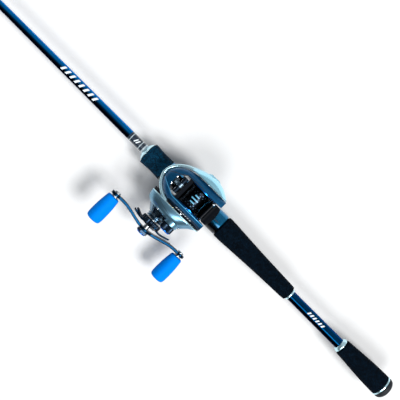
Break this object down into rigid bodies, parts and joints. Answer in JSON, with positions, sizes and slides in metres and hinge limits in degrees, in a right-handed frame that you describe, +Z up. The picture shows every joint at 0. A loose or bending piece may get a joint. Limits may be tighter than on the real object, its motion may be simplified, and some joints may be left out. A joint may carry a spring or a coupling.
{
  "type": "fishing rod with baitcasting reel",
  "caption": "Casting rod with split foam grips, trigger reel seat and a low-profile left-hand baitcasting reel whose crank, spool, gears, level wind, drag and clutch all move.",
  "frame": {"origin": "middle of the butt cap's flat end face", "axes": "+X along the rod to the tip, +Y to the crank side, +Z up through the reel"},
  "size_m": [1.9839, 0.112, 0.075],
  "materials": {
    "blank": "clear lacquer over carbon fibre, dark metallic blue",
    "foam": "closed-cell EVA foam, sanded matt",
    "rubber": "moulded, matt",
    "silver": "bright, slightly blue",
    "seat": "glossy black moulding",
    "frame": "black satin paint on cast alloy",
    "blue": "dark metallic blue paint",
    "satin": "satin silver-blue",
    "spool": "black anodised, blue edges",
    "steel": "ground",
    "brass": "machined",
    "handle": "black anodised with a blue sheen",
    "accent": "bright blue anodised",
    "knob": "azure EVA foam, smooth",
    "nylon": "white acetal",
    "guide": "dark polished plating"
  },
  "bodies": {
    "rod_and_reel_body": {"blank": "blank", "butt_cap": "rubber", "butt_ring": "silver", "butt_grip": "foam", "butt_grip_ring": "silver", "rear_grip_ring": "silver", "rear_grip": "foam", "reel_seat": "seat", "line_guide_1": "guide", "line_guide_2": "guide", "line_guide_3": "guide", "line_guide_4": "guide", "line_guide_5": "guide", "line_guide_6": "guide", "line_guide_7": "guide", "tip_top": "guide", "reel_foot": "frame", "reel_frame": "frame", "top_cover": "blue", "side_band": "frame", "nose_bow": "silver", "gear_side_plate": "frame", "gear_side_trim": "silver", "gear_side_cover": "satin", "palm_side_cover": "satin", "spool_bearing_gear": "steel", "spool_bearing_palm": "steel", "anti_reverse_bearing": "steel", "magnet_plate": "steel", "worm_bush_gear": "nylon", "worm_bush_palm": "nylon", "level_wind_rail": "steel"},
    "sliding_hood": {"screw_hood": "seat"},
    "foregrip_nut": {"lock_nut": "seat", "foregrip": "foam", "foregrip_ring": "silver"},
    "spool_set": {"spool": "spool", "spool_shaft": "steel"},
    "clutch": {"clutch_yoke": "steel"},
    "pinion": {"pinion_gear": "brass"},
    "crank": {"crank_shaft": "steel", "level_wind_cog": "brass", "drag_washers": "rubber", "drag_spring_washers": "silver", "crank_arm": "handle", "crank_nut": "handle", "nut_cap": "accent", "knob_post_front": "steel", "knob_post_rear": "steel"},
    "drive_wheel": {"drive_gear": "brass"},
    "star": {"star_drag": "handle"},
    "front_knob": {"knob_front": "knob"},
    "rear_knob": {"knob_rear": "knob"},
    "tension_cap": {"tension_knob": "handle"},
    "brake": {"brake_dial": "handle"},
    "thumb_lever": {"thumb_bar": "frame"},
    "worm": {"worm_shaft": "steel", "worm_gear": "nylon"},
    "carriage": {"line_carriage": "handle"}
  },
  "joints": [
    {"name": "handle_turn", "type": "hinge", "parent": "rod_and_reel_body", "child": "crank", "pos_m": [0.2851, 0, 0.01964], "axis": [0, 1, 0], "continuous": true},
    {"name": "drive_gear_turn", "type": "hinge", "parent": "rod_and_reel_body", "child": "drive_wheel", "pos_m": [0.2851, 0, 0.01964], "axis": [0, 1, 0], "continuous": true},
    {"name": "star_drag_turn", "type": "hinge", "parent": "crank", "child": "star", "pos_m": [0.2851, 0, 0.01964], "axis": [0, 1, 0], "range_deg": [-360, 180]},
    {"name": "knob_front_spin", "type": "hinge", "parent": "crank", "child": "front_knob", "pos_m": [0.32682, 0, 0.0316], "axis": [0, 1, 0], "continuous": true},
    {"name": "knob_rear_spin", "type": "hinge", "parent": "crank", "child": "rear_knob", "pos_m": [0.24338, 0, 0.00768], "axis": [0, 1, 0], "continuous": true},
    {"name": "spool_spin", "type": "hinge", "parent": "rod_and_reel_body", "child": "spool_set", "pos_m": [0.2705, 0, 0.031], "axis": [0, 1, 0], "continuous": true},
    {"name": "thumb_bar_press", "type": "slide", "parent": "rod_and_reel_body", "child": "thumb_lever", "axis": [0, 0, -1], "range_m": [0, 0.004]},
    {"name": "clutch_slide", "type": "slide", "parent": "rod_and_reel_body", "child": "clutch", "axis": [0, 1, 0], "range_m": [0, 0.0012]},
    {"name": "pinion_spin", "type": "hinge", "parent": "clutch", "child": "pinion", "pos_m": [0.2705, 0, 0.031], "axis": [0, 1, 0], "continuous": true},
    {"name": "worm_spin", "type": "hinge", "parent": "rod_and_reel_body", "child": "worm", "pos_m": [0.2901, 0, 0.02523], "axis": [0, 1, 0], "continuous": true},
    {"name": "line_guide_slide", "type": "slide", "parent": "rod_and_reel_body", "child": "carriage", "axis": [0, 1, 0], "range_m": [-0.0065, 0.0065]},
    {"name": "tension_knob_turn", "type": "hinge", "parent": "rod_and_reel_body", "child": "tension_cap", "pos_m": [0.2705, 0, 0.031], "axis": [0, 1, 0], "range_deg": [-270, 270]},
    {"name": "brake_dial_turn", "type": "hinge", "parent": "rod_and_reel_body", "child": "brake", "pos_m": [0.2705, 0, 0.025], "axis": [0, -1, 0], "range_deg": [0, 300]},
    {"name": "hood_slide", "type": "slide", "parent": "rod_and_reel_body", "child": "sliding_hood", "axis": [1, 0, 0], "range_m": [0, 0.009]},
    {"name": "foregrip_turn", "type": "hinge", "parent": "sliding_hood", "child": "foregrip_nut", "pos_m": [0.324, 0, 0], "axis": [1, 0, 0], "range_deg": [0, 2160]}
  ],
  "couplings": [
    {"joint": "drive_gear_turn", "follows": "handle_turn", "ratio": 1},
    {"joint": "spool_spin", "follows": "handle_turn", "ratio": -6.4},
    {"joint": "pinion_spin", "follows": "handle_turn", "ratio": -6.4},
    {"joint": "worm_spin", "follows": "handle_turn", "ratio": -1.7273},
    {"joint": "clutch_slide", "follows": "thumb_bar_press", "ratio": 0.3},
    {"joint": "hood_slide", "follows": "foregrip_turn", "m_per_rad": 0.00023873}
  ]
}
